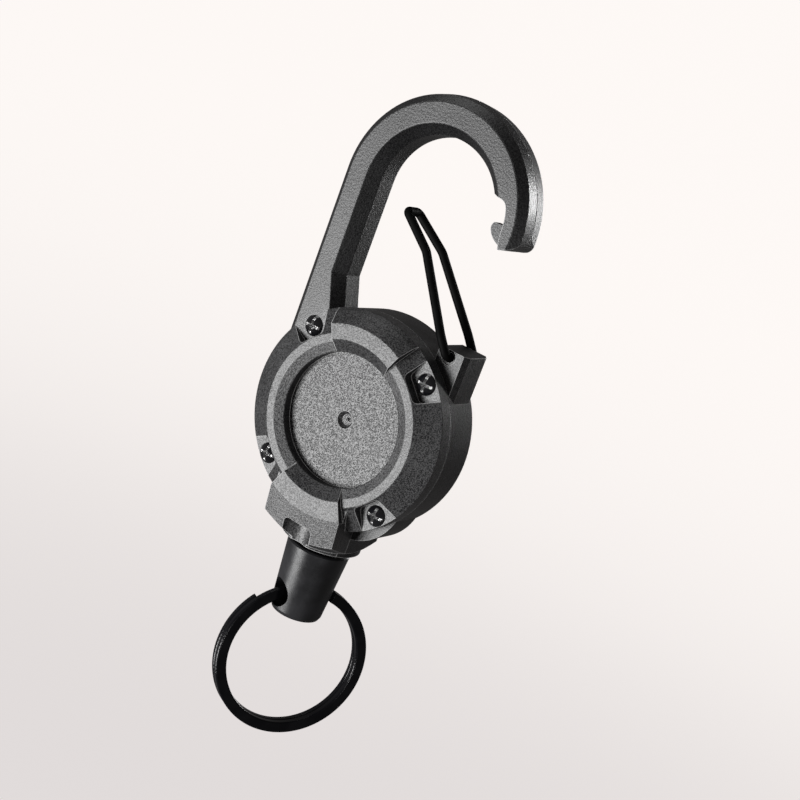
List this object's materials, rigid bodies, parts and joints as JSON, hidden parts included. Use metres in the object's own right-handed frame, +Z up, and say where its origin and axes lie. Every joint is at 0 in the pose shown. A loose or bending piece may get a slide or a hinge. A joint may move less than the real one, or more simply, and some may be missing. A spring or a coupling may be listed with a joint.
{
  "type": "retractable badge reel",
  "caption": "Round retractable cord reel with a moulded carabiner hook, sprung wire gate, screwed front cover, tapered swivel connector and split ring.",
  "frame": {"origin": "centre height of the hook's eye, on the reel's main axis, on the plane the gate swings in", "axes": "+Z up the hook and away from the cord, the label side faces -Y, +X towards the gate's lug"},
  "size_m": [0.0404, 0.0262, 0.1246],
  "materials": {
    "case_black": "fine spark-eroded texture",
    "gate_wire": "satin black coating",
    "screw_black": "gloss black oxide",
    "axle_steel": "turned",
    "drum_acetal": "natural acetal, satin",
    "bushing_brass": "turned",
    "spring_steel": "blued strip",
    "washer_white": "smooth",
    "cord": "braided, waxed",
    "bushing_black": "smooth",
    "connector_black": "smooth satin",
    "ring_black": "satin black plate"
  },
  "bodies": {
    "case": {"front_cover": "case_black", "rear_housing": "case_black", "cover_screws": "screw_black", "spool_axle": "axle_steel", "front_thrust_washer": "washer_white", "rear_thrust_washer": "washer_white", "exit_bushing": "bushing_black", "cord_lead": "cord"},
    "spool": {"spool_drum": "drum_acetal", "drum_bushing": "bushing_brass", "spool_lid": "drum_acetal", "power_spring": "spring_steel", "wound_cord": "cord", "cord_anchor": "bushing_brass"},
    "gate": {"wire_gate": "gate_wire"},
    "cord_end": {"cord_ferrule": "bushing_brass", "swivel_washer": "washer_white"},
    "connector": {"connector_body": "connector_black", "connector_cap": "connector_black"},
    "ring": {"split_ring": "ring_black"}
  },
  "joints": [
    {"name": "cord_pull", "type": "slide", "parent": "case", "child": "cord_end", "axis": [0, 0, -1], "range_m": [0, 0.6], "stiffness_N_per_m": 2.5, "springref_m": -0.6, "deforming": ["cord_lead"]},
    {"name": "spool_spin", "type": "hinge", "parent": "case", "child": "spool", "pos_m": [0, 0, -0.0409], "axis": [0, 1, 0], "range_deg": [0, 2850], "deforming": ["power_spring"]},
    {"name": "gate_swing", "type": "hinge", "parent": "case", "child": "gate", "pos_m": [0.0134, 0, -0.0228], "axis": [0, 1, 0], "range_deg": [0, 40.4], "stiffness_Nm_per_rad": 0.05, "springref_deg": 68.75},
    {"name": "connector_swivel", "type": "hinge", "parent": "cord_end", "child": "connector", "pos_m": [0, 0.0004, -0.0669], "axis": [0, 0, 1], "continuous": true},
    {"name": "ring_swing", "type": "hinge", "parent": "connector", "child": "ring", "pos_m": [0, 0.0004, -0.0775], "axis": [-0.4384, -0.8988, 0], "range_deg": [-90, 90]}
  ],
  "couplings": [
    {"joint": "spool_spin", "follows": "cord_pull", "rad_per_m": 82}
  ]
}
